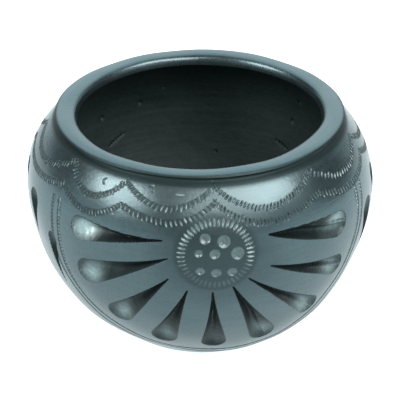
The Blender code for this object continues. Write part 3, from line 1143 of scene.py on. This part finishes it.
# The room's walls: azimuth and elevation of each patch, its inner and outer half-angle, and its brightness
ROOM = 0.85
ROOM_PATCHES = (
    (0.0, 61.0, 20.0, 38.0, 0.08),
    (180.0, 40.0, 20.0, 40.0, 2.1),
    (0.0, 45.0, 14.0, 38.0, 0.07),
    (0.0, 12.0, 12.0, 36.0, 0.12),
    (-111.0, 22.0, 12.0, 28.0, 0.04),
    (102.0, 20.0, 14.0, 28.0, 0.06),
)

CAMERA_DISTANCE = 0.770
CAMERA_ELEVATION = 28.6
CAMERA_TILT = 0.77  # how much further down it looks than at the belly
CAMERA_LENS = 169.8
SENSOR_WIDTH = 36.0


def direction(azimuth, elevation):
    turn = math.radians(azimuth)
    lift = math.radians(elevation)
    return Vector((math.sin(turn) * math.cos(lift), -math.cos(turn) * math.cos(lift), math.sin(lift)))


def table_material():
    material = bpy.data.materials.new("light table")
    material.use_nodes = True
    nodes = Nodes(material.node_tree)
    place = nodes.add("ShaderNodeTexCoord").outputs["Object"]
    inputs = {0: place, 1: TABLE_DARK_SPOT}
    away = nodes.add("ShaderNodeVectorMath", inputs, operation="DISTANCE").outputs["Value"]
    glow = TABLE_GLOW[0][1]
    for (near, low), (far, high) in zip(TABLE_GLOW, TABLE_GLOW[1:]):
        inputs = {"Value": away, "From Min": near, "From Max": far, "To Min": 0.0, "To Max": high - low}
        glow = nodes.math("ADD", nodes.add("ShaderNodeMapRange", inputs).outputs["Result"], glow)
    shader = material.node_tree.nodes["Principled BSDF"]
    shader.inputs["Base Color"].default_value = (TABLE_ALBEDO, TABLE_ALBEDO, TABLE_ALBEDO, 1.0)
    shader.inputs["Roughness"].default_value = 0.9
    shader.inputs["Specular IOR Level"].default_value = 0.0
    shader.inputs["Emission Color"].default_value = LIGHT_TINT
    material.node_tree.links.new(glow, shader.inputs["Emission Strength"])
    return material


def make_floor():
    half = TABLE_SIZE / 2.0
    corners = [(-half, -half, 0.0), (half, -half, 0.0), (half, half, 0.0), (-half, half, 0.0)]
    mesh = bpy.data.meshes.new("floor")
    mesh.from_pydata(corners, [], [(0, 1, 2, 3)])
    mesh.materials.append(table_material())
    floor = bpy.data.objects.new("floor", mesh)
    bpy.context.scene.collection.objects.link(floor)


def make_softbox(name, azimuth, elevation, distance, width, height, power):
    """An area light in that direction from the pot, facing it."""
    light = bpy.data.lights.new(name, "AREA")
    light.shape = "RECTANGLE"
    light.size = width
    light.size_y = height
    light.energy = power
    light.color = SOFTBOX_TINT
    way = direction(azimuth, elevation)
    lamp = bpy.data.objects.new(name, light)
    lamp.location = Vector((0.0, 0.0, SOFTBOX_AIM)) + way * distance
    lamp.rotation_euler = way.to_track_quat("Z", "Y").to_euler()
    bpy.context.scene.collection.objects.link(lamp)


def make_world():
    """A pale room with dark places to be reflected in the pot: the ceiling, the front and two side flags."""
    world = bpy.data.worlds.new("room")
    world.use_nodes = True
    world.node_tree.nodes.clear()
    nodes = Nodes(world.node_tree)
    way = nodes.add("ShaderNodeTexCoord").outputs["Generated"]
    bright = ROOM
    for azimuth, elevation, inner, outer, value in ROOM_PATCHES:
        inputs = {0: way, 1: direction(azimuth, elevation)}
        near = nodes.add("ShaderNodeVectorMath", inputs, operation="DOT_PRODUCT").outputs["Value"]
        edge = nodes.add(
            "ShaderNodeMapRange",
            {
                "Value": near,
                "From Min": math.cos(math.radians(outer)),
                "From Max": math.cos(math.radians(inner)),
            },
            interpolation_type="SMOOTHSTEP",
        ).outputs["Result"]
        bright = nodes.add("ShaderNodeMix", {0: edge, 2: bright, 3: value}).outputs[0]
    background = nodes.add("ShaderNodeBackground", {"Color": LIGHT_TINT, "Strength": bright})
    output = nodes.add("ShaderNodeOutputWorld")
    world.node_tree.links.new(background.outputs[0], output.inputs["Surface"])
    bpy.context.scene.world = world


def make_camera():
    camera = bpy.data.objects.new("camera", bpy.data.cameras.new("camera"))
    camera.data.sensor_width = SENSOR_WIDTH
    camera.data.lens = CAMERA_LENS
    camera.data.clip_start = 0.05
    camera.data.clip_end = 50.0
    lift = math.radians(CAMERA_ELEVATION)
    back = Vector((0.0, -math.cos(lift), math.sin(lift)))
    camera.location = Vector((0.0, 0.0, BELLY_HEIGHT * MM)) + back * CAMERA_DISTANCE
    camera.rotation_euler = (math.radians(90.0 - CAMERA_ELEVATION - CAMERA_TILT), 0.0, 0.0)
    bpy.context.scene.collection.objects.link(camera)
    bpy.context.scene.camera = camera


build_pot(clays())
make_floor()
for softbox in SOFTBOXES:
    make_softbox(*softbox)
make_world()
make_camera()
bpy.context.scene.view_settings.view_transform = "Standard"
